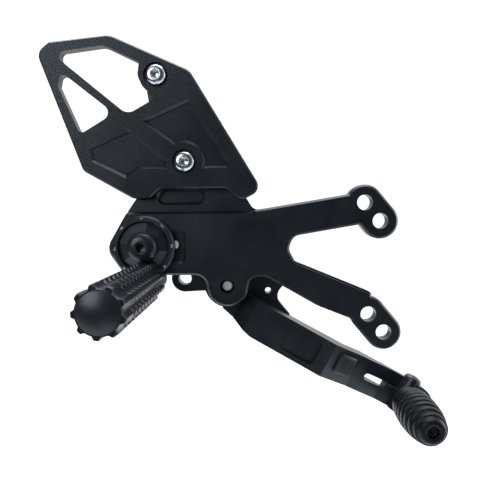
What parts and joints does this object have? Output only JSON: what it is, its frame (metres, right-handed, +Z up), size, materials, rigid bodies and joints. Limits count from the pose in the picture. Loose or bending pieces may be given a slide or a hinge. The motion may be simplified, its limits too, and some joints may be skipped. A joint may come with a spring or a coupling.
{
  "type": "motorcycle rearset foot peg assembly",
  "caption": "Right-hand motorcycle rearset: forked mounting bracket with heel guard, toothed foot peg on an eccentric, and a brake lever with a folding toe peg.",
  "frame": {"origin": "midway between the two rear frame bolt holes, on the bracket's inboard face", "axes": "+X forward along the motorcycle, +Z up, -Y outboard towards the rider's boot, +Y towards the frame"},
  "size_m": [0.221, 0.1299, 0.234],
  "materials": {
    "black_anodised": "satin black anodised",
    "zinc_steel": "bright zinc plated",
    "black_steel": "black oxide",
    "bearing_steel": "ground and polished",
    "seal_rubber": "matte"
  },
  "bodies": {
    "bracket": {"mounting_bracket": "black_anodised", "heel_guard": "black_anodised", "heel_guard_screws": "zinc_steel", "eccentric_clamp_bolt": "black_steel", "eccentric_washer": "zinc_steel", "eccentric_lock_nut": "zinc_steel", "pivot_bolt": "zinc_steel", "pivot_washer": "zinc_steel", "pivot_shim": "bearing_steel", "pivot_spacer": "bearing_steel", "bearing_inner_races": "bearing_steel"},
    "peg": {"peg_eccentric": "black_anodised", "foot_peg": "black_anodised", "foot_peg_end_cap": "black_anodised", "foot_peg_bolt": "black_steel"},
    "lever": {"brake_lever": "black_anodised", "bearing_outer_races": "bearing_steel", "bearing_seals": "seal_rubber", "bearing_balls": "bearing_steel", "toe_fold_bolt": "black_steel"},
    "toe": {"toe_peg_carrier": "black_anodised", "toe_peg_sleeve": "black_anodised", "toe_peg_screw": "black_steel"}
  },
  "joints": [
    {"name": "peg_position", "type": "hinge", "parent": "bracket", "child": "peg", "pos_m": [-0.1285, -0.008, 0.0125], "axis": [0, 1, 0], "continuous": true},
    {"name": "brake_pedal", "type": "hinge", "parent": "bracket", "child": "lever", "pos_m": [-0.0815, 0.01, -0.013], "axis": [0, 1, 0], "range_deg": [0, 14], "stiffness_Nm_per_rad": 2, "springref_deg": -8.59},
    {"name": "toe_fold", "type": "hinge", "parent": "lever", "child": "toe", "pos_m": [0.02279, 0.005, -0.08698], "axis": [-0.515, 0, -0.8572], "range_deg": [0, 45], "stiffness_Nm_per_rad": 0.3, "springref_deg": -28.65}
  ]
}
